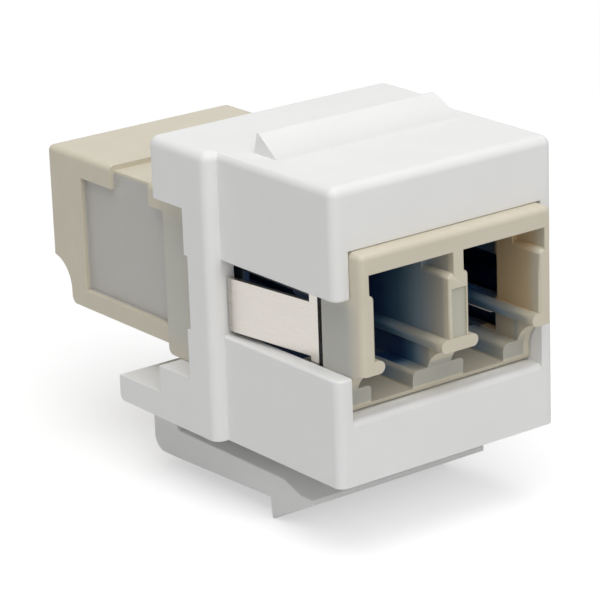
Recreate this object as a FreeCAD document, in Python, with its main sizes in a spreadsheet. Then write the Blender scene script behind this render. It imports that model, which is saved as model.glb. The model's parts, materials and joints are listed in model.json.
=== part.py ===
import FreeCAD, Part
import os
import Sketcher

# Fibre keystone coupler: a duplex adapter for 1.25 mm ferrules, clipped into a snap-in housing.
# Millimetres. +X is right seen from the front, +Y runs to the rear, +Z is up.
# The origin is the middle of the plane where the flange seats on the panel.

doc = FreeCAD.newDocument("FibreKeystoneCoupler")

# Driving sizes
sizes = {
    # housing: nose through the panel, flange behind it, hood, block and tab at the rear
    "nose_depth": 9.85,
    "nose_height": 16.2,
    "side_wall": 0.92,
    "flange_step": 0.8,
    "flange_depth": 2.3,
    "hood_reach": 3.0,
    "block_reach": 2.9,
    "tab_reach": 4.0,
    "tab_thickness": 1.5,
    "core_wall": 0.85,
    "core_rib": 0.7,
    "core_depth": 9.0,
    "slot_play_over": 0.93,
    "slot_play_under": 0.27,
    "slot_set_in": 0.1,
    "tongue_notch": 0.35,
    "outer_round": 0.55,
    "lip_round": 0.35,
    "edge_round": 0.15,
    "tab_round": 0.4,
    "panel_grip": 1.7,
    "lug_length": 12.3,
    "lug_depth": 2.0,
    "lug_height": 1.05,
    "lug_draft": 0.2,
    "lug_land": 0.15,
    # latch: a hairpin that hangs from the tab and runs forward under the nose
    "latch_width": 12.0,
    "latch_gap": 1.75,
    "arm_root_thickness": 1.73,
    "arm_tip_thickness": 1.45,
    "tooth_height": 1.17,
    "tooth_rake": 0.15,
    "tooth_land": 0.12,
    "ramp_length": 3.5,
    "pad_length": 0.9,
    "pad_slope_length": 1.6,
    "pad_drop": 0.52,
    "pad_thickness": 0.3,
    "root_length": 2.25,
    "root_round": 0.9,
    "bend_clearance": 0.06,
    # adapter: two halves, equal but for the windows behind the clip
    "adapter_top": 4.61,
    "adapter_length": 29.0,
    "adapter_fit": 0.03,
    "adapter_round": 0.35,
    "end_cut": 1.85,
    "toe_round": 0.45,
    "rib_seat_wall": 1.09,
    "rib_stand": 0.25,
    "rib_drop": 0.45,
    "rib_length": 2.6,
    "rib_shoulder": 3.95,
    "rib_round": 0.4,
    "seat_inset": 3.4,
    "seat_band_inset": 6.45,
    "seat_side_depth": 0.36,
    "seat_top_depth": 0.3,
    "seat_top_edge": 1.35,
    "seat_bottom_edge": 1.1,
    # ports
    "port_pitch": 6.25,
    "port_roof": 1.12,
    "port_floor": 0.36,
    "port_wall": 0.52,
    "channel_width": 4.86,
    "channel_height": 4.71,
    "relief_step": 0.36,
    "relief_height": 1.14,
    "relief_depth": 2.2,
    "relief_round": 0.3,
    "mouth_chamfer": 0.14,
    "divider_land": 0.83,
    "divider_rim": 0.2,
    "divider_sink": 0.12,
    "rail_reach": 0.545,
    "rail_height": 0.7,
    "latchway_width": 4.65,
    "latchway_height": 1.24,
    "latchway_length": 7.5,
    "tailway_width": 2.8,
    "tailway_height": 1.0,
    "catch_length": 3.5,
    "catch_round": 0.35,
    "web_thickness": 1.0,
    "window_land": 0.12,
    # alignment sleeves and the tubes that hold them
    "ferrule_bore": 1.25,
    "sleeve_wall": 0.185,
    "sleeve_length": 11.4,
    "sleeve_slit": 0.22,
    "sleeve_fit": 0.05,
    "tube_wall": 0.74,
    "tube_lip": 0.4,
    "mouth_play": 0.125,
    "mouth_flare": 0.3,
    # retaining clip
    "clip_thickness": 0.28,
    "clip_fit": 0.02,
    "clip_end_play": 0.06,
    "clip_front_play": 0.4,
    "clip_bend": 0.45,
    "tongue_height": 3.0,
    "tongue_middle": -0.38,
    "tongue_root_inset": 0.66,
    "tongue_slit": 0.55,
    "tongue_slit_round": 0.2,
    "tongue_spring": 0.72,
    "tongue_end_play": 0.03,
    "tongue_lip_length": 0.5,
    "tongue_lip_turn": 0.05,
}

# Places and fits worked out from the sizes; a height below the origin is kept as a depth
places = {
    # ports, measured down from the adapter's top and out from the middle
    "port_middle": "=port_pitch / 2",
    "channel_top": "=adapter_top - port_roof",
    "channel_bottom": "=channel_height - channel_top",
    "rail_bottom": "=channel_bottom + rail_height",
    "latchway_bottom": "=rail_bottom + latchway_height",
    "tailway_bottom": "=latchway_bottom + tailway_height",
    "relief_bottom": "=channel_top - relief_height",
    "ferrule_height": "=channel_top - channel_height / 2",
    "channel_inner": "=port_middle - channel_width / 2",
    "channel_outer": "=port_middle + channel_width / 2",
    "divider_top": "=relief_bottom - divider_land",
    "divider_half": "=channel_inner - divider_rim",
    "relief_inner": "=channel_inner - relief_step",
    "relief_outer": "=channel_outer + relief_step",
    "rail_radius": "=rail_height / 2",
    "rail_middle": "=channel_bottom + rail_radius",
    "rail_inner": "=channel_inner + rail_reach - rail_radius",
    "rail_outer": "=channel_outer - rail_reach + rail_radius",
    "latchway_inner": "=port_middle - latchway_width / 2",
    "latchway_outer": "=port_middle + latchway_width / 2",
    "tailway_inner": "=port_middle - tailway_width / 2",
    "tailway_outer": "=port_middle + tailway_width / 2",
    # adapter half, measured from its weld face
    "adapter_half": "=relief_outer + port_wall",
    "adapter_bottom": "=tailway_bottom + port_floor",
    "half_length": "=adapter_length / 2",
    "adapter_middle": "=rib_seat_wall + adapter_fit + rib_length",
    "end_cut_middle": "=rail_bottom + end_cut",
    "end_cut_rear": "=half_length - end_cut",
    "rib_half": "=adapter_half + rib_stand",
    "rib_bottom": "=adapter_bottom + rib_drop",
    "seat_half": "=adapter_half - seat_side_depth",
    "seat_floor": "=adapter_top - seat_top_depth",
    "seat_top": "=adapter_top - seat_top_edge",
    "seat_bottom": "=adapter_bottom - seat_bottom_edge",
    "seat_front": "=half_length - seat_inset",
    "band_front": "=half_length - seat_band_inset",
    "relief_end": "=half_length - relief_depth",
    "rail_length": "=half_length - web_thickness",
    "catch_end": "=end_cut_rear - catch_length",
    "latchway_end": "=end_cut_rear - latchway_length",
    # sleeves and tubes
    "bore_radius": "=ferrule_bore / 2",
    "sleeve_radius": "=bore_radius + sleeve_wall",
    "slit_half": "=sleeve_slit / 2",
    "slit_top": "=ferrule_height + 2 * sleeve_radius",
    "tube_bore": "=sleeve_radius + sleeve_fit",
    "tube_radius": "=tube_bore + tube_wall",
    "tube_bore_end": "=sleeve_length / 2 + sleeve_fit",
    "tube_end": "=tube_bore_end + tube_lip",
    "mouth_radius": "=bore_radius + mouth_play",
    "flare_radius": "=mouth_radius + mouth_flare",
    "flare_angle": "=atan(mouth_flare / tube_lip)",
    # clip, in the adapter's seat
    "clip_inner": "=seat_half + clip_fit",
    "clip_outer": "=clip_inner + clip_thickness",
    "clip_under": "=seat_floor + clip_fit",
    "clip_over": "=clip_under + clip_thickness",
    "clip_foot": "=seat_bottom - clip_end_play",
    "clip_shoulder": "=seat_top - clip_end_play",
    "clip_front": "=adapter_middle - seat_front + clip_front_play",
    "clip_rear": "=adapter_middle - rib_length - clip_end_play",
    "clip_band_front": "=adapter_middle - band_front + clip_end_play",
    "clip_band_rear": "=adapter_middle - rib_shoulder - clip_end_play",
    "clip_inner_round": "=clip_bend - clip_thickness",
    "tongue_root": "=clip_front + tongue_root_inset",
    "tongue_end": "=-tongue_end_play",
    "tongue_bend": "=tongue_end - tongue_lip_length",
    "tongue_out": "=clip_outer + tongue_spring",
    "tongue_in": "=clip_inner + tongue_spring",
    "tongue_lip_out": "=tongue_out - tongue_lip_turn",
    "tongue_lip_in": "=tongue_in - tongue_lip_turn",
    "tongue_top": "=tongue_middle + tongue_height / 2",
    "tongue_bottom": "=tongue_middle - tongue_height / 2",
    "tongue_slit_top": "=tongue_top + tongue_slit",
    "tongue_slit_bottom": "=tongue_bottom - tongue_slit",
    # windows in the front half that the clip closes, above and below the rails
    "window_front": "=seat_front - window_land",
    "window_rear": "=adapter_middle - tongue_end",
    "window_low_rear": "=latchway_end + window_land",
    "window_bottom": "=latchway_bottom - window_land",
    "window_head": "=tongue_top + window_land",
    "window_sill": "=channel_bottom - window_land",
    "window_lintel": "=rail_bottom + window_land",
    # housing, round the adapter
    "opening_half": "=adapter_half + adapter_fit",
    "opening_top": "=adapter_top + adapter_fit",
    "opening_bottom": "=adapter_bottom + adapter_fit",
    "nose_half": "=opening_half + side_wall",
    "nose_top": "=nose_height / 2",
    "flange_half": "=nose_half + flange_step",
    "rib_seat_half": "=rib_half + adapter_fit",
    "rib_seat_bottom": "=rib_bottom + adapter_fit",
    "hood_rear": "=flange_depth + hood_reach",
    "block_rear": "=flange_depth + block_reach",
    "tab_rear": "=block_rear + tab_reach",
    "tab_top": "=nose_top - tab_thickness",
    "core_inner": "=core_rib / 2",
    "core_outer": "=nose_half - core_wall",
    "core_top": "=nose_top - core_wall",
    "core_bottom": "=opening_top + core_wall",
    "slot_top": "=tongue_top + slot_play_over",
    "slot_bottom": "=tongue_bottom - slot_play_under",
    "notch_front": "=flange_depth - tongue_notch",
    "lug_front": "=panel_grip + lug_depth",
    "lug_land_front": "=panel_grip + lug_land",
    "lug_base_half": "=lug_length / 2",
    "lug_top_half": "=lug_base_half - lug_draft",
    "lug_top": "=nose_top + lug_height",
    # latch, under the nose
    "arm_top": "=nose_top + latch_gap",
    "arm_root_bottom": "=arm_top + arm_root_thickness",
    "arm_tip_bottom": "=arm_top + arm_tip_thickness",
    "tooth_tip": "=arm_tip_bottom + tooth_height",
    "tooth_tip_rear": "=panel_grip + tooth_rake",
    "tooth_tip_front": "=tooth_tip_rear + tooth_land",
    "latch_front": "=tooth_tip_front + ramp_length",
    "pad_rear": "=latch_front - pad_length",
    "pad_slope_rear": "=pad_rear - pad_slope_length",
    "pad_top": "=arm_top + pad_drop",
    "pad_bottom": "=pad_top + pad_thickness",
    "bend_middle": "=tab_rear - root_length",
    "bend_height": "=arm_top + arm_root_thickness / 2",
    "bend_radius": "=arm_root_thickness / 2",
    "bend_seat_radius": "=bend_radius + bend_clearance",
}

# two numbers closer than this are the same place, or the same volume
same_place = 1e-4

sheet = doc.addObject("Spreadsheet::Sheet", "Sizes")
for row, (alias, content) in enumerate((sizes | places).items(), start=1):
    sheet.set(f"A{row}", alias)
    sheet.set(f"B{row}", str(content))
    sheet.setAlias(f"B{row}", alias)
doc.recompute()


def value(name):
    """Number behind a sheet name; a leading minus turns its sign."""
    return -value(name[1:]) if name.startswith("-") else float(getattr(sheet, name))


def formula(name):
    """Expression that binds a property to a sheet name."""
    return f"-Sizes.{name[1:]}" if name.startswith("-") else f"Sizes.{name}"


def bind_distance(sketch, kind, geometry, position, name):
    """Hold one coordinate of a point at a sheet name, measured from the sketch's origin."""
    if name == "0":
        axis = -2 if kind == "DistanceX" else -1
        sketch.addConstraint(Sketcher.Constraint("PointOnObject", geometry, position, axis))
        return
    index = sketch.addConstraint(Sketcher.Constraint(kind, -1, 1, geometry, position, value(name)))
    sketch.setExpression(f"Constraints[{index}]", formula(name))


def coordinate(name):
    return 0.0 if name == "0" else value(name)


def draw(body, label, plane, outlines=(), circles=(), shift=None):
    """Sketch on an origin plane: outlines of named corners, and circles of named centre and radius."""
    sketch = body.newObject("Sketcher::SketchObject", label)
    support = next(part for part in body.Origin.OriginFeatures if part.Role == plane)
    sketch.AttachmentSupport = [(support, "")]
    sketch.MapMode = "FlatFace"
    if shift:
        sketch.setExpression("AttachmentOffset.Base.z", formula(shift))
    for corners in outlines:
        points = [FreeCAD.Vector(coordinate(across), coordinate(up), 0) for across, up in corners]
        first = sketch.GeometryCount
        count = len(points)
        for index, point in enumerate(points):
            sketch.addGeometry(Part.LineSegment(point, points[(index + 1) % count]), False)
        for index, (across, up) in enumerate(corners):
            following = first + (index + 1) % count
            sketch.addConstraint(Sketcher.Constraint("Coincident", first + index, 2, following, 1))
            bind_distance(sketch, "DistanceX", first + index, 1, across)
            bind_distance(sketch, "DistanceY", first + index, 1, up)
    for across, up, radius in circles:
        middle = FreeCAD.Vector(coordinate(across), coordinate(up), 0)
        circle = Part.Circle(middle, FreeCAD.Vector(0, 0, 1), value(radius))
        geometry = sketch.addGeometry(circle, False)
        bind_distance(sketch, "DistanceX", geometry, 3, across)
        bind_distance(sketch, "DistanceY", geometry, 3, up)
        index = sketch.addConstraint(Sketcher.Constraint("Radius", geometry, value(radius)))
        sketch.setExpression(f"Constraints[{index}]", formula(radius))
    return sketch


def box_outline(left, right, bottom, top):
    return [(left, bottom), (right, bottom), (right, top), (left, top)]


def near(number, *targets):
    return any(abs(number - target) < same_place for target in targets)


def extrude(body, kind, label, sketch, length=None,
            symmetric=False, reverse=False, twice=False, taper=None):
    """Pad or Pocket of a sketch; with no length a pocket goes through everything."""
    before = body.Tip.Shape.Volume if body.Tip else 0.0
    feature = body.newObject(kind, label)
    feature.Profile = sketch
    if length:
        feature.setExpression("Length", f"2 * {formula(length)}" if twice else formula(length))
    else:
        feature.Type = "ThroughAll"
    if symmetric:
        feature.SideType = "Symmetric"
    if taper:
        feature.setExpression("TaperAngle", formula(taper))
    feature.Reversed = reverse
    doc.recompute()
    if near(feature.Shape.Volume, before):
        raise RuntimeError(f"{body.Label}: {label} changes nothing")


def pad(body, label, sketch, length, **options):
    extrude(body, "PartDesign::Pad", label, sketch, length, **options)


def pocket(body, label, sketch, length=None, **options):
    extrude(body, "PartDesign::Pocket", label, sketch, length, **options)


def soften(body, kind, label, measure, amount, wanted):
    """Fillet or Chamfer of the edges of the body's tip that the test picks by their two end points."""
    base = body.Tip
    names = []
    for index, edge in enumerate(base.Shape.Edges, start=1):
        if len(edge.Vertexes) == 2 and wanted(edge.Vertexes[0].Point, edge.Vertexes[1].Point):
            names.append(f"Edge{index}")
    feature = body.newObject(kind, label)
    feature.Base = (base, names)
    feature.setExpression(measure, formula(amount))
    doc.recompute()


def round_edges(body, label, radius, wanted):
    soften(body, "PartDesign::Fillet", label, "Radius", radius, wanted)


def chamfer_edges(body, label, size, wanted):
    soften(body, "PartDesign::Chamfer", label, "Size", size, wanted)


def new_body(label):
    body = doc.addObject("PartDesign::Body", label)
    body.Label = label
    return body


def make_housing():
    body = new_body("keystone_housing")

    nose = draw(body, "NoseSide", "YZ_Plane",
                [box_outline("-nose_depth", "0", "-nose_top", "nose_top")])
    pad(body, "Nose", nose, "nose_half", symmetric=True, twice=True)

    # flange with the hood over the adapter and the stepped block and tab below it
    flange = draw(body, "FlangeSide", "YZ_Plane", [[
        ("0", "-nose_top"), ("tab_rear", "-nose_top"), ("tab_rear", "-tab_top"),
        ("block_rear", "-tab_top"), ("block_rear", "-rib_seat_bottom"),
        ("flange_depth", "-rib_seat_bottom"), ("flange_depth", "opening_top"),
        ("hood_rear", "opening_top"), ("hood_rear", "nose_top"), ("0", "nose_top")]])
    pad(body, "Flange", flange, "flange_half", symmetric=True, twice=True)

    # one soft radius runs round the nose, the flange and the hood; the underside stays sharp
    front, top = -value("nose_depth"), value("nose_top")
    nose_half, flange_half = value("nose_half"), value("flange_half")
    hood_rear, tab_rear = value("hood_rear"), value("tab_rear")
    round_edges(body, "OuterRounds", "outer_round", lambda a, b: (
        near(a.z, top) and near(b.z, top)
        or near(a.x, b.x) and near(a.y, b.y) and near(a.y, front, 0, hood_rear)
        and near(abs(a.x), flange_half if a.y > front / 2 else nose_half)))
    round_edges(body, "TabRounds", "tab_round", lambda a, b: (
        near(a.y, tab_rear) and near(b.y, tab_rear) and near(a.z, -top) and near(b.z, -top)))

    # opening that the adapter slides into from the rear, and the wider seat of its middle rib
    opening = draw(body, "OpeningFront", "XZ_Plane",
                   [box_outline("-opening_half", "opening_half", "-opening_bottom", "opening_top")])
    pocket(body, "Opening", opening, symmetric=True)
    lip = -value("opening_bottom")
    round_edges(body, "LipRound", "lip_round", lambda a, b: (
        near(a.y, front) and near(b.y, front) and near(a.z, lip) and near(b.z, lip)))
    rib_seat = draw(body, "RibSeatFront", "XZ_Plane",
                    [box_outline("-rib_seat_half", "rib_seat_half", "-rib_seat_bottom", "opening_top")],
                    shift="-rib_seat_wall")
    pocket(body, "RibSeat", rib_seat)

    # side slots for the clip's tongues, open at the front and set a little into the flange
    slots = draw(body, "SlotSide", "YZ_Plane",
                 [box_outline("-nose_depth", "0", "slot_bottom", "slot_top")])
    pocket(body, "SideSlots", slots, symmetric=True)
    slot_top, slot_bottom, wall_inside = value("slot_top"), value("slot_bottom"), value("opening_half")
    round_edges(body, "SlotRounds", "edge_round", lambda a, b: (
        near(a.z, b.z) and near(a.z, slot_top, slot_bottom)
        and a.y <= 0 and b.y <= 0 and not (near(abs(a.x), wall_inside) and near(abs(b.x), wall_inside))
        and not (near(a.y, 0) and near(b.y, 0))))
    slot_ends = draw(body, "SlotEndSide", "YZ_Plane",
                     [box_outline("0", "slot_set_in", "slot_bottom", "slot_top")])
    pocket(body, "SlotEnds", slot_ends, "nose_half", symmetric=True, twice=True)

    # lead-in for the tongues at the flange's rear edge
    notch = draw(body, "NotchSide", "YZ_Plane",
                 [box_outline("notch_front", "flange_depth", "slot_bottom", "slot_top")])
    pocket(body, "TongueNotches", notch, symmetric=True)

    # mould cores in the thick top wall, open to the rear
    cores = draw(body, "CoreRear", "XZ_Plane",
                 [box_outline("core_inner", "core_outer", "core_bottom", "core_top"),
                  box_outline("-core_outer", "-core_inner", "core_bottom", "core_top")],
                 shift="-hood_rear")
    pocket(body, "HoodCores", cores, "core_depth", reverse=True)

    # fixed lug on top: ramp to the front, upright face to the panel, drafted ends
    lug_base = draw(body, "LugBase", "XY_Plane",
                    [box_outline("-lug_base_half", "lug_base_half", "-lug_front", "-panel_grip")],
                    shift="nose_top")
    lug_crest = draw(body, "LugCrest", "XY_Plane",
                     [box_outline("-lug_top_half", "lug_top_half", "-lug_land_front", "-panel_grip")],
                     shift="lug_top")
    lug = body.newObject("PartDesign::AdditiveLoft", "Lug")
    lug.Profile = lug_base
    lug.Sections = [lug_crest]
    lug.Ruled = True
    doc.recompute()

    # rear leg of the latch's hairpin, flush with the tab and hollowed where the arm bends
    root = draw(body, "RootSide", "YZ_Plane",
                [box_outline("bend_middle", "tab_rear", "-arm_root_bottom", "-tab_top")])
    pad(body, "LatchRoot", root, "latch_width", symmetric=True)
    root_bottom = -value("arm_root_bottom")
    round_edges(body, "RootRound", "root_round", lambda a, b: (
        near(a.y, tab_rear) and near(b.y, tab_rear) and near(a.z, root_bottom) and near(b.z, root_bottom)))
    bend = draw(body, "BendSide", "YZ_Plane",
                circles=[("bend_middle", "-bend_height", "bend_seat_radius")])
    pocket(body, "Bend", bend, symmetric=True)
    return body


def make_latch():
    body = new_body("keystone_latch")
    arm = draw(body, "ArmSide", "YZ_Plane", [[
        ("bend_middle", "-arm_top"), ("-pad_slope_rear", "-arm_top"),
        ("-pad_rear", "-pad_top"), ("-latch_front", "-pad_top"), ("-latch_front", "-pad_bottom"),
        ("-tooth_tip_front", "-tooth_tip"), ("-tooth_tip_rear", "-tooth_tip"),
        ("-panel_grip", "-arm_tip_bottom"), ("bend_middle", "-arm_root_bottom")]])
    pad(body, "Arm", arm, "latch_width", symmetric=True)
    bend = draw(body, "BendSide", "YZ_Plane",
                circles=[("bend_middle", "-bend_height", "bend_radius")])
    pad(body, "Bend", bend, "latch_width", symmetric=True)
    return body


def port_boxes(kind, bottom, top):
    """The same box in both ports, from the widths that the name gives."""
    inner, outer = f"{kind}_inner", f"{kind}_outer"
    return [box_outline(inner, outer, bottom, top), box_outline(f"-{outer}", f"-{inner}", bottom, top)]


def make_adapter_half(label, turned):
    """One half, with its ports facing -Y and its weld face on the XZ plane."""
    body = new_body(label)

    side = draw(body, "HalfSide", "YZ_Plane", [[
        ("0", "-adapter_bottom"), ("0", "adapter_top"), ("-half_length", "adapter_top"),
        ("-half_length", "-end_cut_middle"), ("-end_cut_rear", "-end_cut_middle"),
        ("-end_cut_rear", "-adapter_bottom")]])
    pad(body, "Half", side, "adapter_half", symmetric=True, twice=True)
    face, toe = -value("half_length"), -value("end_cut_rear")
    half, top, bottom = value("adapter_half"), value("adapter_top"), -value("adapter_bottom")
    round_edges(body, "ToeRound", "toe_round", lambda a, b: (
        near(a.y, toe) and near(b.y, toe) and near(a.z, bottom) and near(b.z, bottom)))
    round_edges(body, "EndRounds", "adapter_round", lambda a, b: (
        near(a.y, face) and near(b.y, face) and near(a.z, top) and near(b.z, top)
        or near(abs(a.x), half) and near(a.x, b.x) and (
            near(a.z, top) and near(b.z, top) or near(a.y, face) and near(b.y, face))))

    # hollow under the end face, on the latch side of the plug
    end_cut = draw(body, "EndCutSide", "YZ_Plane",
                   circles=[("-half_length", "-end_cut_middle", "end_cut")])
    pocket(body, "EndCut", end_cut, symmetric=True)

    # middle rib with its wider shoulder over the clip seat
    rib = draw(body, "RibSide", "YZ_Plane", [[
        ("0", "-rib_bottom"), ("0", "adapter_top"), ("-rib_shoulder", "adapter_top"),
        ("-rib_shoulder", "seat_top"), ("-rib_length", "seat_top"), ("-rib_length", "-rib_bottom")]])
    pad(body, "Rib", rib, "rib_half", symmetric=True, twice=True)
    rib_half, rib_front, rib_bottom = value("rib_half"), -value("rib_length"), -value("rib_bottom")
    round_edges(body, "RibRounds", "rib_round", lambda a, b: (
        near(abs(a.x), rib_half) and near(a.x, b.x) and near(a.z, top) and near(b.z, top)
        or near(a.y, rib_front) and near(b.y, rib_front) and near(a.z, rib_bottom) and near(b.z, rib_bottom)))

    # clip seat: wide on the sides, a narrow band over the top
    seat = [[("-seat_front", "-seat_bottom"), ("-rib_length", "-seat_bottom"), ("-rib_length", "seat_top"),
             ("-rib_shoulder", "seat_top"), ("-rib_shoulder", "adapter_top"), ("-band_front", "adapter_top"),
             ("-band_front", "seat_top"), ("-seat_front", "seat_top")]]
    for sign, turn in (("", True), ("-", False)):
        sketch = draw(body, "SeatSide", "YZ_Plane", seat, shift=f"{sign}seat_half")
        pocket(body, "Seat", sketch, reverse=turn)
    band = draw(body, "BandSide", "YZ_Plane",
                [box_outline("-band_front", "-rib_shoulder", "seat_floor", "adapter_top")])
    pocket(body, "Band", band, symmetric=True)

    # plug channels, with the rails that the plug body slides on, and a shallow panel on the wall between
    channel = draw(body, "ChannelFront", "XZ_Plane",
                   port_boxes("channel", "-channel_bottom", "channel_top"), shift="web_thickness")
    pocket(body, "Channels", channel, reverse=True)
    rails = draw(body, "RailFront", "XZ_Plane",
                 port_boxes("rail", "-rail_bottom", "-channel_bottom"), shift="web_thickness")
    pocket(body, "RailGaps", rails, reverse=True)
    relief = draw(body, "ReliefFront", "XZ_Plane",
                  port_boxes("relief", "relief_bottom", "channel_top"), shift="relief_end")
    pocket(body, "Reliefs", relief, reverse=True)
    walls = [sign * value(name) for name in ("channel_inner", "channel_outer") for sign in (1, -1)]
    step = value("relief_bottom")
    round_edges(body, "ReliefRounds", "relief_round", lambda a, b: (
        near(a.x, b.x) and near(a.x, *walls) and near(a.z, step) and near(b.z, step)))
    chamfer_edges(body, "MouthChamfers", "mouth_chamfer", lambda a, b: (
        near(a.x, b.x) and near(a.x, *walls) and near(a.y, face) and near(b.y, face)))
    sink = draw(body, "DividerFront", "XZ_Plane", shift="half_length",
                outlines=[box_outline("-divider_half", "divider_half", "-channel_bottom", "divider_top")])
    pocket(body, "DividerSink", sink, "divider_sink")

    # way of the plug's latch below the rails, with a catch on each side of its mouth
    latchway = draw(body, "LatchwayFront", "XZ_Plane",
                    port_boxes("latchway", "-latchway_bottom", "-rail_bottom"), shift="latchway_end")
    pocket(body, "Latchways", latchway, reverse=True)
    tailway = draw(body, "TailwayFront", "XZ_Plane",
                   port_boxes("tailway", "-tailway_bottom", "-latchway_bottom"), shift="catch_end")
    pocket(body, "Tailways", tailway, reverse=True)
    catch_room = draw(body, "CatchRoomSide", "XZ_Plane",
                      port_boxes("latchway", "-tailway_bottom", "-latchway_bottom"), shift="latchway_end")
    room = body.newObject("PartDesign::Pocket", "CatchRoom")
    room.Profile = catch_room
    room.setExpression("Length", "Sizes.catch_end - Sizes.latchway_end")
    room.Reversed = True
    doc.recompute()

    catches = [sign * value(name) for name in ("tailway_inner", "tailway_outer") for sign in (1, -1)]
    catch_top = -value("latchway_bottom")
    round_edges(body, "CatchRounds", "catch_round", lambda a, b: (
        near(a.x, b.x) and near(a.x, *catches) and near(a.z, catch_top) and near(b.z, catch_top)))

    # rails end in a full round
    tips = draw(body, "RailTips", "XZ_Plane", shift="web_thickness",
                circles=[(sign + edge, "-rail_middle", "rail_radius")
                         for edge in ("rail_inner", "rail_outer") for sign in ("", "-")])
    pad(body, "RailRounds", tips, "rail_length")

    # tubes that hold the alignment sleeves; the flared mouths guide the ferrules and keep the sleeves in
    tubes = draw(body, "TubeEnd", "XZ_Plane",
                 circles=[(sign + "port_middle", "ferrule_height", "tube_radius") for sign in ("", "-")])
    pad(body, "Tubes", tubes, "tube_end")
    bores = draw(body, "BoreEnd", "XZ_Plane",
                 circles=[(sign + "port_middle", "ferrule_height", "tube_bore") for sign in ("", "-")])
    pocket(body, "Bores", bores, "tube_bore_end", reverse=True)
    mouths = draw(body, "MouthEnd", "XZ_Plane", shift="tube_end",
                  circles=[(sign + "port_middle", "ferrule_height", "flare_radius") for sign in ("", "-")])
    pocket(body, "Mouths", mouths, "tube_lip", taper="-flare_angle")

    # windows in the front half's side walls, behind the clip and clear of the rails
    if not turned:
        windows = [box_outline("-window_front", "-window_rear", "-window_sill", "window_head"),
                   box_outline("-window_front", "-window_low_rear", "-window_bottom", "-window_lintel")]
        for sign, turn in (("", True), ("-", False)):
            sketch = draw(body, "WindowSide", "YZ_Plane", windows, shift=f"{sign}latchway_outer")
            pocket(body, "Windows", sketch, reverse=turn)

    body.setExpression("Placement.Base.y", "Sizes.adapter_middle")
    if turned:
        body.setExpression("Placement.Rotation.Angle", "180")
    doc.recompute()
    return body


def make_clip():
    body = new_body("retaining_clip")

    # bent U section over the adapter's top and sides
    section = draw(body, "ClipSection", "XZ_Plane", [[
        ("-clip_outer", "-clip_foot"), ("-clip_inner", "-clip_foot"), ("-clip_inner", "clip_under"),
        ("clip_inner", "clip_under"), ("clip_inner", "-clip_foot"), ("clip_outer", "-clip_foot"),
        ("clip_outer", "clip_over"), ("-clip_outer", "clip_over")]], shift="-clip_front")
    strip = body.newObject("PartDesign::Pad", "Strip")
    strip.Profile = section
    strip.setExpression("Length", "Sizes.clip_rear - Sizes.clip_front")
    strip.Reversed = True
    doc.recompute()
    outer, over = value("clip_outer"), value("clip_over")
    inner, under = value("clip_inner"), value("clip_under")
    round_edges(body, "OuterBends", "clip_bend", lambda a, b: (
        near(abs(a.x), outer) and near(a.x, b.x) and near(a.z, over) and near(b.z, over)))
    round_edges(body, "InnerBends", "clip_inner_round", lambda a, b: (
        near(abs(a.x), inner) and near(a.x, b.x) and near(a.z, under) and near(b.z, under)))

    # the band over the top is narrower than the side plates
    ends = draw(body, "BandEnds", "YZ_Plane",
                [box_outline("clip_front", "clip_band_front", "clip_shoulder", "clip_over"),
                 box_outline("clip_band_rear", "clip_rear", "clip_shoulder", "clip_over")])
    pocket(body, "BandTrim", ends, symmetric=True)

    # room round each tongue, then the tongue itself, sprung outwards with its end turned in
    room = draw(body, "TongueRoomSide", "YZ_Plane",
                [box_outline("tongue_root", "clip_rear", "tongue_slit_bottom", "tongue_slit_top")])
    pocket(body, "TongueRoom", room, symmetric=True)
    tongue_root, slit_ends = value("tongue_root"), (value("tongue_slit_bottom"), value("tongue_slit_top"))
    round_edges(body, "SlitRounds", "tongue_slit_round", lambda a, b: (
        near(a.y, tongue_root) and near(b.y, tongue_root) and near(a.z, b.z) and near(a.z, *slit_ends)))
    for sign, name in (("-", "LeftTongue"), ("", "RightTongue")):
        bent = draw(body, f"{name}Top", "XY_Plane", [[
            (f"{sign}clip_inner", "clip_front"), (f"{sign}clip_outer", "clip_front"),
            (f"{sign}clip_outer", "tongue_root"), (f"{sign}tongue_out", "tongue_bend"),
            (f"{sign}tongue_lip_out", "tongue_end"), (f"{sign}tongue_lip_in", "tongue_end"),
            (f"{sign}tongue_in", "tongue_bend"), (f"{sign}clip_inner", "tongue_root")]],
            shift="tongue_bottom")
        pad(body, name, bent, "tongue_height")
    return body


def make_sleeve(label, sign):
    body = new_body(label)
    ring = draw(body, "SleeveEnd", "XZ_Plane",
                circles=[(f"{sign}port_middle", "ferrule_height", "sleeve_radius"),
                         (f"{sign}port_middle", "ferrule_height", "bore_radius")])
    pad(body, "Sleeve", ring, "sleeve_length", symmetric=True)
    slit = draw(body, "SlitEnd", "XZ_Plane",
                [box_outline("-slit_half", "slit_half", "ferrule_height", "slit_top")])
    slit.setExpression("AttachmentOffset.Base.x", formula(f"{sign}port_middle"))
    pocket(body, "Slit", slit, symmetric=True)
    body.setExpression("Placement.Base.y", "Sizes.adapter_middle")
    doc.recompute()
    return body


pieces = [
    make_housing(),
    make_latch(),
    make_adapter_half("adapter_front_half", turned=False),
    make_adapter_half("adapter_rear_half", turned=True),
    make_clip(),
    make_sleeve("left_alignment_sleeve", "-"),
    make_sleeve("right_alignment_sleeve", ""),
]

doc.recompute()
for item in doc.Objects:
    if "Invalid" in item.State or "Error" in item.State:
        raise RuntimeError(f"{item.Name} failed: {item.State}")
for piece in pieces:
    if piece.Shape.isNull() or not piece.Shape.isValid() or len(piece.Shape.Solids) != 1:
        raise RuntimeError(f"{piece.Label} has no valid single solid")

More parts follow.
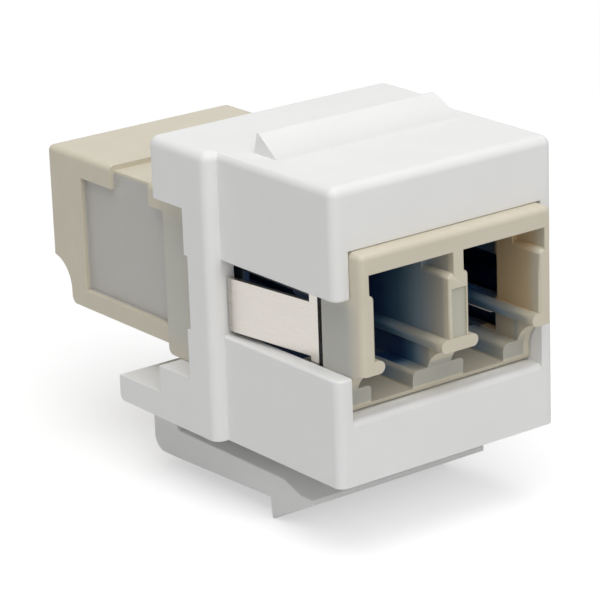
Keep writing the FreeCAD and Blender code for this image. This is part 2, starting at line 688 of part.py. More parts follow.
os.makedirs("parts", exist_ok=True)
for piece in pieces:
    piece.Shape.exportStep(f"parts/{piece.Label}.step")
    box = piece.Shape.BoundBox
    print(f"{piece.Label}: {piece.Shape.Volume:.1f} mm3, "
          f"{box.XLength:.2f} x {box.YLength:.2f} x {box.ZLength:.2f} mm")
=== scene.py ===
import json
import math
import bmesh
import bpy
from mathutils import Matrix, Vector


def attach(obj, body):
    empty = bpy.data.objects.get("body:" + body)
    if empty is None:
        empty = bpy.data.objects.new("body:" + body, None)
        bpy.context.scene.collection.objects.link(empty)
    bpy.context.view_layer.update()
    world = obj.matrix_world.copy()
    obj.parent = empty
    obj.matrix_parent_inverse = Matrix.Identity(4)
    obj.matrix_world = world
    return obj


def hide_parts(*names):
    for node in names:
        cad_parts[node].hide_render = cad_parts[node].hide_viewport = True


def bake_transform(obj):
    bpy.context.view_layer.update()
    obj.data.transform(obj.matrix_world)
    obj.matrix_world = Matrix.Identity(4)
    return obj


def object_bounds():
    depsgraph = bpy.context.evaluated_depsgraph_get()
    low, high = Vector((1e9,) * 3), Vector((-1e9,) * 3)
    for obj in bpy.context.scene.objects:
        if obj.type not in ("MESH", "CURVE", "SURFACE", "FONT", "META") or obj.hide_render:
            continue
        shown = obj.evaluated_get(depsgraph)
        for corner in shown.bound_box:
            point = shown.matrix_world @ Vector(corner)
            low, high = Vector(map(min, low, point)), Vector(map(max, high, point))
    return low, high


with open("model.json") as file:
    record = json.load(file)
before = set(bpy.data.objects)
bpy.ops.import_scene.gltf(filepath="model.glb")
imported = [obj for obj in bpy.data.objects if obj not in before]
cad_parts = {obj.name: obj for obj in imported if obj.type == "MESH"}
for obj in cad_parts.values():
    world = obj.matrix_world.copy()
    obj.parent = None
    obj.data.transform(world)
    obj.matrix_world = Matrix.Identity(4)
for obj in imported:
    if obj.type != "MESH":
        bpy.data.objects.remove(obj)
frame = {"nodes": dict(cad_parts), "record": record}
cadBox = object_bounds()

mm = 0.001
nodes = frame["nodes"]
scene = bpy.context.scene
print("frame loaded:", sorted(nodes))


def nodeBox(name):  # lowest and highest corner of a CAD node, in mm and rounded to a micron
    places = [vertex.co / mm for vertex in nodes[name].data.vertices]
    return [[round(pick(place[axis] for place in places), 3) for axis in range(3)] for pick in (min, max)]


housingLow, housingHigh = nodeBox("keystone_housing")
latchLow, latchHigh = nodeBox("keystone_latch")
adapterFront = nodeBox("adapter_front_half")[0][1]
adapterRear = nodeBox("adapter_rear_half")[1][1]
adapterMiddle = (adapterFront + adapterRear) / 2
adapterReach = (adapterRear - adapterFront) / 2


def linearColour(hexText):
    parts = [int(hexText[place:place + 2], 16) / 255 for place in (1, 3, 5)]
    return tuple(c / 12.92 if c <= 0.04045 else ((c + 0.055) / 1.055) ** 2.4 for c in parts) + (1.0,)


def addNode(tree, kind, settings=None, values=None, links=None):
    node = tree.nodes.new(kind)
    for name, setting in (settings or {}).items():
        setattr(node, name, setting)
    for socket, amount in (values or {}).items():
        node.inputs[socket].default_value = amount
    for socket, source in (links or {}).items():
        tree.links.new(source, node.inputs[socket])
    return node


def perMetre(sizeInMm):  # a pattern of this size needs this texture scale
    return 1 / (sizeInMm * mm)


def newMaterial(name):
    material = bpy.data.materials.new(name)
    material.use_nodes = True
    tree = material.node_tree
    tree.nodes.clear()
    output = addNode(tree, "ShaderNodeOutputMaterial")
    shader = addNode(tree, "ShaderNodeBsdfPrincipled")
    tree.links.new(shader.outputs["BSDF"], output.inputs["Surface"])
    return material, tree, shader


noiseLow, noiseHigh = 0.3, 0.7  # most of a noise texture's values lie between these

# what both moulded plastics share
mouldedFace = dict(
    cloudDetail=3.0, cloudRough=0.55, grainDetail=2.0, grainRough=0.6,
    scatterTint=(1.0, 0.95, 0.85),  # red light travels furthest inside
)

# Moulded ABS, opaque white with a satin spark-eroded face: soft broad highlights, a grain just felt
whiteAbs = dict(
    light="#F2F2F1", dark="#ECECEB", cloudSize=2.6,
    grainSize=0.11, grainHeight=0.004, grainStrength=0.3,  # real grain is near 0.03 mm, drawn coarser
    roughLow=0.52, roughHigh=0.64, ior=1.54, scatter=0.06, scatterReach=0.35,
)

# Moulded PBT in warm beige: denser and a little waxier than the housing, with painted shade turning
# blue-black down its ports
# boxes give a middle, a half size and a soft edge in mm on each axis, and x counts on both sides
dividerSink = 0.12  # depth of the divider's panels, front and rear
beigePbt = dict(
    light="#D8D0BD", dark="#CFC7B3", cloudSize=1.9,
    grainSize=0.09, grainHeight=0.004, grainStrength=0.3,  # drawn coarser than it is, like the housing's
    roughLow=0.40, roughHigh=0.52, ior=1.57, scatter=0.05, scatterReach=0.3,
    portBox=((0.0, 5.95, 0.01), (-0.1, 4.0, 0.1)),  # x and z of the ports' painted shade, all along the adapter
    portStart=0.3, portEnd=6.5,  # how far behind the mouth the painted shade begins and is full
    lowStart=1.92, lowDelay=1.22,  # below the rails the painted shade starts further back
    lowGain=2.5, lowBox=((0.0, 4.4, 1.0), (-2.56, 0.64, 0.01)),  # and the painted shade darkens sooner by the divider
    upFrom=0.1, upTo=0.6, upPower=2.2,  # painted light: ledges and rails that face up stay lighter for longer, as if lit from above
    # colours of the painted shade from the mouth to the bottom of the ports
    portShadeStops=((0.0, "#FFFFFF"), (0.045, "#D8DEE6"), (0.13, "#CCD3DF"), (0.37, "#A4C2EC"),
               (0.63, "#5687BA"), (0.89, "#2F5595"), (1.0, "#264A8C")),
    glowStart=5.35, glowEnd=5.55,  # painted warm light on the thin outer walls, as if shining through them, as far as the clip
    feetBox=((5.5, 0.6, 0.01), (adapterReach - 0.95, 1.1, 0.1), (-3.22, 1.3, 0.01)),  # but the feet get no painted glow
    paintedGlowStops=((0.0, "#FFFFFF"), (0.12, "#FFEBD0"), (0.5, "#FFE3C0"), (0.54, "#4C5866"), (1.0, "#2A6CC4")),
    shadePanels=(  # painted shade: the sunk panels, the rib's side and the seat under the clip are greyer, as in the shade of their hollows
        (((6.08, 0.13, 0.01), (10.6, 4.4, 0.01), (-0.1, 4.3, 0.1)), "#E8EEFF"),  # side of the rear half
        (((6.5, 0.2, 0.01), (-4.9, 5.6, 1.0), (-1.0, 3.6, 1.2)), "#DCE4F1"),  # side of the front half
        (((6.75, 0.2, 0.01), (3.9, 2.7, 0.01), (-0.4, 4.6, 1.5)), "#EDF4FF"),  # side of the middle rib
        (((0.0, 0.52, 0.01), (adapterFront + dividerSink, 0.05, 0.01), (0.1, 1.5, 0.01)), "#E3EBEF"),
        (((0.0, 0.52, 0.01), (adapterRear - dividerSink, 0.05, 0.01), (0.1, 1.5, 0.01)), "#E3EBEF"),
        (((6.08, 0.13, 0.01), (-3.0, 4.4, 0.01), (-0.1, 4.3, 0.1)), "#34465E"),  # painted shade on the seat under the clip
    ),
)


def boxMask(tree, axes, box):  # 1 inside the box, falling to 0 at its edges
    mask = None
    for axis, (middle, half, soft) in zip(axes, box):
        offset = addNode(tree, "ShaderNodeMath", {"operation": "SUBTRACT"}, {1: middle * mm}, {0: axis})
        away = addNode(tree, "ShaderNodeMath", {"operation": "ABSOLUTE"},
                       links={0: offset.outputs["Value"]})
        near = addNode(tree, "ShaderNodeMapRange",
                       values={"From Min": half * mm, "From Max": (half - soft) * mm},
                       links={"Value": away.outputs["Value"]}).outputs["Result"]
        mask = near if mask is None else addNode(
            tree, "ShaderNodeMath", {"operation": "MULTIPLY"}, links={0: mask, 1: near}).outputs["Value"]
    return mask


def portDepths(tree, across, fromMiddle, up, rise, look):  # 0 outside and at the mouths, 1 at the bottom
    low = addNode(tree, "ShaderNodeMath", {"operation": "LESS_THAN"}, {1: -look["lowStart"] * mm}, {0: up})
    reach = addNode(tree, "ShaderNodeMath", {"operation": "MULTIPLY_ADD"}, {1: look["lowDelay"] * mm},
                    {0: low.outputs["Value"], 2: fromMiddle})
    sunk = addNode(tree, "ShaderNodeMapRange",
                   values={"From Min": (adapterReach - look["portStart"]) * mm,
                           "From Max": (adapterReach - look["portEnd"]) * mm},
                   links={"Value": reach.outputs["Value"]})
    gain = addNode(tree, "ShaderNodeMath", {"operation": "MULTIPLY_ADD"}, {1: look["lowGain"] - 1, 2: 1.0},
                   {0: boxMask(tree, (across, up), look["lowBox"])})
    wall = addNode(tree, "ShaderNodeMath", {"operation": "MULTIPLY", "use_clamp": True},
                   links={0: sunk.outputs["Result"], 1: gain.outputs["Value"]})
    ledge = addNode(tree, "ShaderNodeMath", {"operation": "POWER"}, {1: look["upPower"]},
                    {0: wall.outputs["Value"]})
    # painted light: faces turned up get less of the painted shade
    facesUp = addNode(tree, "ShaderNodeMapRange",
                      values={"From Min": look["upFrom"], "From Max": look["upTo"]}, links={"Value": rise})
    inside = addNode(tree, "ShaderNodeMix", {"data_type": "FLOAT"},
                     links={"Factor": facesUp.outputs["Result"], "A": wall.outputs["Value"],
                            "B": ledge.outputs["Value"]})
    mask = boxMask(tree, (across, up), look["portBox"])
    return [addNode(tree, "ShaderNodeMath", {"operation": "MULTIPLY"},
                    links={0: share, 1: mask}).outputs["Value"]
            for share in (inside.outputs["Result"], wall.outputs["Value"])]


def paintedPortShade(tree, axes, rise, look):  # painted shade, cold and dark down the ports, and painted warm light on their thin outer walls
    across, along, up = axes
    offset = addNode(tree, "ShaderNodeMath", {"operation": "SUBTRACT"}, {1: adapterMiddle * mm}, {0: along})
    fromMiddle = addNode(tree, "ShaderNodeMath", {"operation": "ABSOLUTE"},
                         links={0: offset.outputs["Value"]}).outputs["Value"]
    tints = []
    depths = portDepths(tree, across, fromMiddle, up, rise, look)
    for depth, stops in zip(depths, (look["portShadeStops"], look["paintedGlowStops"])):
        ramp = addNode(tree, "ShaderNodeValToRGB", links={"Fac": depth})
        while len(ramp.color_ramp.elements) < len(stops):
            ramp.color_ramp.elements.new(0.5)
        for stop, (position, shade) in zip(ramp.color_ramp.elements, stops):
            stop.position, stop.color = position, linearColour(shade)
        tints.append(ramp.outputs["Color"])
    # the painted glow reaches only the thin outer walls, not the feet
    feet = boxMask(tree, (across, fromMiddle, up), look["feetBox"])
    thin = addNode(tree, "ShaderNodeMath", {"operation": "MULTIPLY_ADD"}, {1: -look["glowEnd"] * mm},
                   {0: feet, 2: across})
    outer = addNode(tree, "ShaderNodeMapRange",
                    values={"From Min": look["glowStart"] * mm, "From Max": look["glowEnd"] * mm},
                    links={"Value": thin.outputs["Value"]})
    tint = addNode(tree, "ShaderNodeMix", {"data_type": "RGBA"},
                   links={"Factor": outer.outputs["Result"], "A": tints[0], "B": tints[1]})
    return tint.outputs["Result"]


def shadeAdapter(tree, spot, colour, look):  # painted shade by place: down the ports and on the sunk panels
    parts = addNode(tree, "ShaderNodeSeparateXYZ", links={"Vector": spot["Object"]})
    facing = addNode(tree, "ShaderNodeSeparateXYZ", links={"Vector": spot["Normal"]})
    across = addNode(tree, "ShaderNodeMath", {"operation": "ABSOLUTE"}, links={0: parts.outputs["X"]})
    axes = across.outputs["Value"], parts.outputs["Y"], parts.outputs["Z"]
    tint = paintedPortShade(tree, axes, facing.outputs["Z"], look)
    colour = addNode(tree, "ShaderNodeMix", {"data_type": "RGBA", "blend_type": "MULTIPLY"},
                     {"Factor": 1.0}, {"A": colour, "B": tint}).outputs["Result"]
    # painted shade on the sunk panels and the seat under the clip
    for box, shade in look["shadePanels"]:
        colour = addNode(tree, "ShaderNodeMix", {"data_type": "RGBA", "blend_type": "MULTIPLY"},
                         {"B": linearColour(shade)},
                         {"Factor": boxMask(tree, axes, box), "A": colour}).outputs["Result"]
    return colour


def mouldedPlastic(name, look):
    material, tree, shader = newMaterial(name)
    spot = addNode(tree, "ShaderNodeTexCoord").outputs
    place = spot["Object"]
    cloud = addNode(tree, "ShaderNodeTexNoise",
                    values={"Scale": perMetre(look["cloudSize"]), "Detail": mouldedFace["cloudDetail"],
                            "Roughness": mouldedFace["cloudRough"]},
                    links={"Vector": place})
    tone = addNode(tree, "ShaderNodeMix", {"data_type": "RGBA"},
                   {"A": linearColour(look["dark"]), "B": linearColour(look["light"])},
                   {"Factor": cloud.outputs["Fac"]})
    colour = tone.outputs["Result"]
    # painted shade down the ports and on the sunk panels
    if "portShadeStops" in look:
        colour = shadeAdapter(tree, spot, colour, look)
    grain = addNode(tree, "ShaderNodeTexNoise",
                    values={"Scale": perMetre(look["grainSize"]), "Detail": mouldedFace["grainDetail"],
                            "Roughness": mouldedFace["grainRough"]},
                    links={"Vector": place})
    rough = addNode(tree, "ShaderNodeMapRange",
                    values={"From Min": noiseLow, "From Max": noiseHigh,
                            "To Min": look["roughLow"], "To Max": look["roughHigh"]},
                    links={"Value": grain.outputs["Fac"]})
    bump = addNode(tree, "ShaderNodeBump",
                   values={"Strength": look["grainStrength"], "Distance": look["grainHeight"] * mm},
                   links={"Height": grain.outputs["Fac"]})
    tree.links.new(colour, shader.inputs["Base Color"])
    tree.links.new(rough.outputs["Result"], shader.inputs["Roughness"])
    tree.links.new(bump.outputs["Normal"], shader.inputs["Normal"])
    shader.inputs["IOR"].default_value = look["ior"]
    shader.inputs["Subsurface Weight"].default_value = look["scatter"]
    shader.inputs["Subsurface Radius"].default_value = mouldedFace["scatterTint"]
    shader.inputs["Subsurface Scale"].default_value = look["scatterReach"] * mm
    return material


# Rolled stainless spring strip: mirror-bright, drawn out into fine lines along the rolling direction
springSteel = dict(
    light="#D6D1CA", dark="#CDC8C1",
    lineWidth=0.12, lineLength=7.0, lineDetail=1.0, lineRough=0.5,  # real lines are finer, drawn wider
    roughLow=0.27, roughHigh=0.31, lineHeight=0.0008, lineStrength=0.12, stretch=0.4,
    innerShade="#4C6690", innerReach=2.0,  # painted shade: further out than this, inward faces are darkened as lying in the ports' dark
)


def rolledSteel(name, look):
    material, tree, shader = newMaterial(name)
    spot = addNode(tree, "ShaderNodeTexCoord").outputs
    place = spot["Object"]
    squeeze = look["lineWidth"] / look["lineLength"]
    along = addNode(tree, "ShaderNodeMapping", values={"Scale": (1.0, squeeze, 1.0)},
                    links={"Vector": place})
    lines = addNode(tree, "ShaderNodeTexNoise",
                    values={"Scale": perMetre(look["lineWidth"]), "Detail": look["lineDetail"],
                            "Roughness": look["lineRough"]},
                    links={"Vector": along.outputs["Vector"]})
    tone = addNode(tree, "ShaderNodeMix", {"data_type": "RGBA"},
                   {"A": linearColour(look["dark"]), "B": linearColour(look["light"])},
                   {"Factor": lines.outputs["Fac"]})
    # painted shade on the clip's inward faces, where they lie in the ports
    parts = addNode(tree, "ShaderNodeSeparateXYZ", links={"Vector": place})
    facing = addNode(tree, "ShaderNodeSeparateXYZ", links={"Vector": spot["Normal"]})
    outward = addNode(tree, "ShaderNodeMath", {"operation": "MULTIPLY"},
                      links={0: parts.outputs["X"], 1: facing.outputs["X"]})
    inner = addNode(tree, "ShaderNodeMath", {"operation": "LESS_THAN"}, {1: -look["innerReach"] * mm},
                    {0: outward.outputs["Value"]})
    colour = addNode(tree, "ShaderNodeMix", {"data_type": "RGBA", "blend_type": "MULTIPLY"},
                     {"B": linearColour(look["innerShade"])},
                     {"Factor": inner.outputs["Value"], "A": tone.outputs["Result"]})
    rough = addNode(tree, "ShaderNodeMapRange",
                    values={"From Min": noiseLow, "From Max": noiseHigh,
                            "To Min": look["roughLow"], "To Max": look["roughHigh"]},
                    links={"Value": lines.outputs["Fac"]})
    bump = addNode(tree, "ShaderNodeBump",
                   values={"Strength": look["lineStrength"], "Distance": look["lineHeight"] * mm},
                   links={"Height": lines.outputs["Fac"]})
    tree.links.new(colour.outputs["Result"], shader.inputs["Base Color"])
    tree.links.new(rough.outputs["Result"], shader.inputs["Roughness"])
    tree.links.new(bump.outputs["Normal"], shader.inputs["Normal"])
    shader.inputs["Metallic"].default_value = 1.0
    shader.inputs["Anisotropic"].default_value = look["stretch"]
    return material


# Zirconia ceramic, ground round: dense ivory white with a wet gloss and faint grinding rings
zirconia = dict(
    light="#F4F1E9", dark="#E9E5DA", roughness=0.14, ior=2.1,
    ringSize=0.14, ringHeight=0.0008, ringStrength=0.3, ringWaver=1.5, ringDetail=2.0,
)


def groundCeramic(name, look):
    material, tree, shader = newMaterial(name)
    place = addNode(tree, "ShaderNodeTexCoord").outputs["Object"]
    rings = addNode(tree, "ShaderNodeTexWave", {"wave_type": "BANDS", "bands_direction": "Y"},
                    {"Scale": perMetre(look["ringSize"]) / (2 * math.pi), "Distortion": look["ringWaver"],
                     "Detail": look["ringDetail"]},
                    {"Vector": place})
    tone = addNode(tree, "ShaderNodeMix", {"data_type": "RGBA"},
                   {"A": linearColour(look["dark"]), "B": linearColour(look["light"])},
                   {"Factor": rings.outputs["Fac"]})
    bump = addNode(tree, "ShaderNodeBump",
                   values={"Strength": look["ringStrength"], "Distance": look["ringHeight"] * mm},
                   links={"Height": rings.outputs["Fac"]})
    tree.links.new(tone.outputs["Result"], shader.inputs["Base Color"])
    tree.links.new(bump.outputs["Normal"], shader.inputs["Normal"])
    shader.inputs["Roughness"].default_value = look["roughness"]
    shader.inputs["IOR"].default_value = look["ior"]
    return material


finishes = {
    "white_abs": mouldedPlastic("moulded white ABS", whiteAbs),
    "beige_pbt": mouldedPlastic("moulded beige PBT", beigePbt),
    "spring_steel": rolledSteel("rolled stainless spring steel", springSteel),
    "zirconia": groundCeramic("ground zirconia", zirconia),
}
print("materials made:", [material.name for material in finishes.values()])


def dress(piece, slot):
    piece.data.materials.clear()
    piece.data.materials.append(finishes[slot])


# moulded pieces: the frame's solids with their sharp edges broken as a mould leaves them
edgeBreak = dict(
    weld=0.0005, flat=0.4,  # mm and degrees within which facets are one face
    angle=38.0, smoothAngle=22.0, hardAngle=50.0, steps=2,
    shortest=0.4, narrowest=0.2,  # no edge shorter than this, or beside a narrower face, is broken
    tightShare=0.4,  # an edge that runs into a sliver is broken less, so that its ends keep clear
    widths={"keystone_housing": 0.06, "adapter_front_half": 0.05, "adapter_rear_half": 0.05,
            "retaining_clip": 0.03},
)


def plainMesh(piece, name):
    graph = bpy.context.evaluated_depsgraph_get()
    mesh = bpy.data.meshes.new_from_object(piece.evaluated_get(graph))
    mesh.name = name
    piece.modifiers.clear()
    piece.data = mesh


def editMesh(mesh, change):
    build = bmesh.new()
    build.from_mesh(mesh)
    change(build)
    build.to_mesh(mesh)
    build.free()


def cleanFacets(build):
    bmesh.ops.remove_doubles(build, verts=build.verts, dist=edgeBreak["weld"] * mm)
    bmesh.ops.dissolve_limit(build, angle_limit=math.radians(edgeBreak["flat"]),
                             verts=build.verts, edges=build.edges)


def faceWidth(face):
    return face.calc_area() / max(edge.calc_length() for edge in face.edges)


def markOpenEdges(build, shortest, narrowest):  # a sliver has no room for a broken edge
    weight = build.edges.layers.float.new("bevel_weight_edge")
    for edge in build.edges:
        if (len(edge.link_faces) == 2 and edge.is_convex
                and edge.calc_face_angle() > math.radians(edgeBreak["angle"])
                and edge.calc_length() > shortest * mm
                and all(faceWidth(face) > narrowest * mm for face in edge.link_faces)):
            tightest = min(faceWidth(face) for corner in edge.verts for face in corner.link_faces)
            edge[weight] = 1.0 if tightest > narrowest * mm else edgeBreak["tightShare"]


def keepHardEdges(build):  # what is still sharp after the edges are broken is shaded sharp
    for edge in build.edges:
        if len(edge.link_faces) == 2 and edge.calc_face_angle() > math.radians(edgeBreak["hardAngle"]):
            edge.smooth = False


def breakEdges(piece, width, shortest, narrowest):
    editMesh(piece.data, lambda build: markOpenEdges(build, shortest, narrowest))
    piece.data.shade_smooth()
    piece.data.set_sharp_from_angle(angle=math.radians(edgeBreak["smoothAngle"]))
    bevel = piece.modifiers.new("broken edges", "BEVEL")
    bevel.width = width * mm
    bevel.segments = edgeBreak["steps"]
    bevel.limit_method = "WEIGHT"
    bevel.use_clamp_overlap = False
    plainMesh(piece, piece.name)
    editMesh(piece.data, keepHardEdges)
    flats = piece.modifiers.new("flat faces stay flat", "WEIGHTED_NORMAL")
    flats.keep_sharp = True
    plainMesh(piece, piece.name)


def mouldedCopy(node, name, width):
    mesh = nodes[node].data.copy()
    mesh.name = name
    editMesh(mesh, cleanFacets)
    piece = bpy.data.objects.new(name, mesh)
    scene.collection.objects.link(piece)
    breakEdges(piece, width, edgeBreak["shortest"], edgeBreak["narrowest"])
    return piece


slotOf = {row["node"]: row["material_slot"] for row in frame["record"]["subparts"]}
for node, width in edgeBreak["widths"].items():
    piece = mouldedCopy(node, node + "_moulded", width)
    dress(piece, slotOf[node])
    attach(piece, "housing")
    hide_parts(node)
    print("edges broken:", piece.name, len(piece.data.polygons), "faces")
for node in ("left_alignment_sleeve", "right_alignment_sleeve"):
    dress(nodes[node], slotOf[node])
print("sleeves dressed")

# hairpin latch: one moulded strip from under the tab, round the bend and forward to the tooth
# sizes in mm, and pairs are y and z unless a note says otherwise
hairpin = dict(
    skin=0.01,  # the strip lies this far over the solids that it covers
    edge=0.06, shortest=0.05, narrowest=0.08, roundSteps=5,
    rearTop=-7.9, rearRound=0.9, front=6.94, innerRound=0.3,
    toothRear=(-1.7, -11.30), toothEnds=(-1.85, -1.97),  # y of the tooth's flat end
    tipEnds=(-10.67, -10.37), padRear=(-4.57, -10.37), slopeEnd=-2.97,  # z of the tip, y of the slope's end
    flexStart=7.2, flexEnd=4.8, flexRows=9, flexHeight=-10.7,  # the strip's outline gets points at these rows
)


def hairpinOutline(look):  # corners as y, z and corner round, running rear, bottom, tooth, top
    rear, bottom = housingHigh[1] + look["skin"], housingLow[2] - look["skin"]
    armTop, toothBottom, tipFront = latchHigh[2], latchLow[2], latchLow[1]
    rowStep = (look["flexEnd"] - look["flexStart"]) / (look["flexRows"] - 1)
    rows = [look["flexStart"] + rowStep * count for count in range(look["flexRows"])]
    slope = (look["toothRear"][1] - bottom) / (look["flexStart"] - look["toothRear"][0])
    under = [(row, bottom + slope * (look["flexStart"] - row), 0) for row in rows]
    bendEnd = look["front"] - 2 * look["innerRound"]
    over = [(row, armTop, 0) for row in reversed(rows) if row < bendEnd]
    tooth = [look["toothRear"], *((y, toothBottom) for y in look["toothEnds"])]
    tip = [*((tipFront, z) for z in look["tipEnds"]), look["padRear"], (look["slopeEnd"], armTop)]
    return ([(rear, look["rearTop"], 0), (rear, bottom, look["rearRound"])]
            + under + [(y, z, 0) for y, z in tooth + tip] + over
            + [(look["front"], armTop, look["innerRound"]), (look["front"], look["rearTop"], 0)])


def stripTree():
    tree = bpy.data.node_groups.new("moulded strip", "GeometryNodeTree")
    for name, kind in (("Outline", "Geometry"), ("Width", "Float"), ("Round Steps", "Int"),
                       ("Weld", "Float"), ("Plastic", "Material")):
        tree.interface.new_socket(name, in_out="INPUT", socket_type="NodeSocket" + kind)
    tree.interface.new_socket("Strip", in_out="OUTPUT", socket_type="NodeSocketGeometry")
    given = addNode(tree, "NodeGroupInput").outputs
    line = addNode(tree, "GeometryNodeMeshToCurve", links={"Mesh": given["Outline"]})
    corner = addNode(tree, "GeometryNodeInputNamedAttribute", {"data_type": "FLOAT"},
                     {"Name": "corner_round"})
    soft = addNode(tree, "GeometryNodeFilletCurve", {"mode": "POLY"},
                   links={"Curve": line.outputs["Curve"], "Radius": corner.outputs["Attribute"],
                          "Count": given["Round Steps"]})
    side = addNode(tree, "GeometryNodeFillCurve", {"mode": "NGONS"}, links={"Curve": soft.outputs["Curve"]})
    strip = addNode(tree, "GeometryNodeExtrudeMesh", {"mode": "FACES"}, {"Individual": False},
                    {"Mesh": side.outputs["Mesh"], "Offset Scale": given["Width"]})
    otherSide = addNode(tree, "GeometryNodeFlipFaces", links={"Mesh": side.outputs["Mesh"]})
    both = addNode(tree, "GeometryNodeJoinGeometry", links={"Geometry": strip.outputs["Mesh"]})
    tree.links.new(otherSide.outputs["Mesh"], both.inputs["Geometry"])
    shut = addNode(tree, "GeometryNodeMergeByDistance",
                   links={"Geometry": both.outputs["Geometry"], "Distance": given["Weld"]})
    half = addNode(tree, "ShaderNodeMath", {"operation": "MULTIPLY"}, {1: -0.5}, {0: given["Width"]})
    shift = addNode(tree, "ShaderNodeCombineXYZ", links={"X": half.outputs["Value"]})
    upright = addNode(tree, "GeometryNodeTransform", values={"Rotation": (math.pi / 2, 0, math.pi / 2)},
                      links={"Geometry": shut.outputs["Geometry"], "Translation": shift.outputs["Vector"]})
    real = addNode(tree, "GeometryNodeRealizeInstances", links={"Geometry": upright.outputs["Geometry"]})
    dressed = addNode(tree, "GeometryNodeSetMaterial",
                      links={"Geometry": real.outputs["Geometry"], "Material": given["Plastic"]})
    addNode(tree, "NodeGroupOutput", links={"Strip": dressed.outputs["Geometry"]})
    return tree


def makeHairpin(look):
    outline = hairpinOutline(look)
    mesh = bpy.data.meshes.new("latch_hairpin")
    count = len(outline)
    mesh.from_pydata([(y * mm, z * mm, 0) for y, z, corner in outline],
                     [(place, (place + 1) % count) for place in range(count)], [])
    corners = mesh.attributes.new("corner_round", "FLOAT", "POINT")
    corners.data.foreach_set("value", [corner * mm for y, z, corner in outline])
    piece = bpy.data.objects.new("latch_hairpin", mesh)
    scene.collection.objects.link(piece)
    strip = piece.modifiers.new("moulded strip", "NODES")
    strip.node_group = stripTree()
    width = latchHigh[0] - latchLow[0] + 2 * look["skin"]
    inputs = {"Width": width * mm, "Round Steps": look["roundSteps"],
              "Weld": edgeBreak["weld"] * mm, "Plastic": finishes["white_abs"]}
    for item in strip.node_group.interface.items_tree:
        if item.name in inputs:
            strip[item.identifier] = inputs[item.name]
    plainMesh(piece, "latch_hairpin")
    breakEdges(piece, look["edge"], look["shortest"], look["narrowest"])
    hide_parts("keystone_latch")
    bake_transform(piece)
    print("latch drawn:", count, "outline points,", len(piece.data.polygons), "faces")


makeHairpin(hairpin)

# camera where the photograph was taken from, with angles in degrees and lengths in mm
viewpoint = dict(
    azimuth=-36.69, elevation=18.63, roll=-2.06, place=(-95.94, -125.74, 51.55),
    lens=182.95, sensor=36.0, nearest=1, farthest=10000,
)


def makeCamera(look):
    turn, lift, lean = (math.radians(look[key]) for key in ("azimuth", "elevation", "roll"))
    back = Vector((math.sin(turn) * math.cos(lift), -math.cos(turn) * math.cos(lift), math.sin(lift)))
    level = Vector((math.cos(turn), math.sin(turn), 0))
    upright = back.cross(level)
    right = math.cos(lean) * level + math.sin(lean) * upright
    up = back.cross(right)
    data = bpy.data.cameras.new("camera")
    data.lens, data.sensor_width = look["lens"], look["sensor"]
    data.clip_start, data.clip_end = look["nearest"] * mm, look["farthest"] * mm
    camera = bpy.data.objects.new("camera", data)
    turned = Matrix((right, up, back)).transposed().to_4x4()
    camera.matrix_world = Matrix.Translation(Vector(look["place"]) * mm) @ turned
    scene.collection.objects.link(camera)
    scene.camera = camera


makeCamera(viewpoint)
print("camera placed")

# pale floor under the latch's tooth, and a white room
studio = dict(
    floorSize=1200, floorDrop=0.02, floorColour="#DCDCDC", floorLift=0.475,
    fadeStart=50, fadeEnd=130,  # from here outwards the floor runs out into the white background
    white="#FFFFFF", whiteLevel=1.0, roomLight=0.27,
)


def seenRays(tree):  # 1 where the eye looks at the background, straight or in metal or through glass
    rays = addNode(tree, "ShaderNodeLightPath")
    seen = rays.outputs["Is Camera Ray"]
    for ray in ("Is Glossy Ray", "Is Transmission Ray"):
        seen = addNode(tree, "ShaderNodeMath", {"operation": "MAXIMUM"},
                       links={0: seen, 1: rays.outputs[ray]}).outputs["Value"]
    return seen


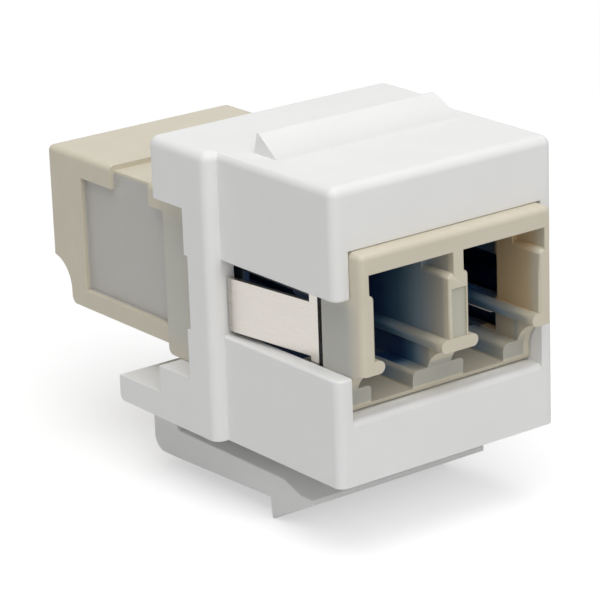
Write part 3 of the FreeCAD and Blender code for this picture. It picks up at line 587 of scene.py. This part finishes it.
def makeFloor(look):
    half = look["floorSize"] * mm / 2
    level = cadBox[0].z - look["floorDrop"] * mm
    corners = [(-half, -half, level), (half, -half, level), (half, half, level), (-half, half, level)]
    mesh = bpy.data.meshes.new("floor")
    mesh.from_pydata(corners, [], [(0, 1, 2, 3)])
    floor = bpy.data.objects.new("floor", mesh)
    scene.collection.objects.link(floor)
    material = bpy.data.materials.new("matt white paper")
    material.use_nodes = True
    tree = material.node_tree
    tree.nodes.clear()
    output = addNode(tree, "ShaderNodeOutputMaterial")
    seen = seenRays(tree)
    white = linearColour(look["white"])
    paper = addNode(tree, "ShaderNodeBsdfDiffuse", values={"Color": linearColour(look["floorColour"])})
    lift = addNode(tree, "ShaderNodeMath", {"operation": "MULTIPLY"}, {1: look["floorLift"]}, {0: seen})
    glow = addNode(tree, "ShaderNodeEmission", values={"Color": white},
                   links={"Strength": lift.outputs["Value"]})
    near = addNode(tree, "ShaderNodeAddShader",
                   links={0: paper.outputs["BSDF"], 1: glow.outputs["Emission"]})
    far = addNode(tree, "ShaderNodeEmission", values={"Color": white, "Strength": look["whiteLevel"]})
    place = addNode(tree, "ShaderNodeTexCoord").outputs["Object"]
    away = addNode(tree, "ShaderNodeVectorMath", {"operation": "LENGTH"}, links={0: place})
    fade = addNode(tree, "ShaderNodeMapRange", {"interpolation_type": "SMOOTHSTEP"},
                   {"From Min": look["fadeStart"] * mm, "From Max": look["fadeEnd"] * mm},
                   {"Value": away.outputs["Value"]})
    share = addNode(tree, "ShaderNodeMath", {"operation": "MULTIPLY"},
                    links={0: fade.outputs["Result"], 1: seen})
    both = addNode(tree, "ShaderNodeMixShader",
                   links={0: share.outputs["Value"], 1: near.outputs["Shader"], 2: far.outputs["Emission"]})
    tree.links.new(both.outputs["Shader"], output.inputs["Surface"])
    floor.data.materials.append(material)


def makeRoom(look):
    room = bpy.data.worlds.new("white room")
    scene.world = room
    room.use_nodes = True
    tree = room.node_tree
    tree.nodes.clear()
    output = addNode(tree, "ShaderNodeOutputWorld")
    level = addNode(tree, "ShaderNodeMapRange",
                    values={"To Min": look["roomLight"], "To Max": look["whiteLevel"]},
                    links={"Value": seenRays(tree)})
    sky = addNode(tree, "ShaderNodeBackground", values={"Color": linearColour(look["white"])},
                  links={"Strength": level.outputs["Result"]})
    tree.links.new(sky.outputs["Background"], output.inputs["Surface"])


# places, aims and sizes in mm
softboxes = [
    dict(name="overhead softbox", place=(-40, -80, 320), aim=(0, 2, 0), size=(360, 360), watts=0.89),
    dict(name="front fill", place=(-110, -290, 180), aim=(0, 0, 0), size=(200, 200), watts=0.225),
]


def makeLight(look):
    data = bpy.data.lights.new(look["name"], "AREA")
    data.shape = "RECTANGLE"
    data.size, data.size_y = (side * mm for side in look["size"])
    data.energy = look["watts"]
    light = bpy.data.objects.new(look["name"], data)
    light.location = Vector(look["place"]) * mm
    toAim = Vector(look["aim"]) - Vector(look["place"])
    light.rotation_euler = toAim.to_track_quat("-Z", "Y").to_euler()
    scene.collection.objects.link(light)


makeFloor(studio)
makeRoom(studio)
for softbox in softboxes:
    makeLight(softbox)
scene.view_settings.view_transform = "Standard"
print("studio lit")
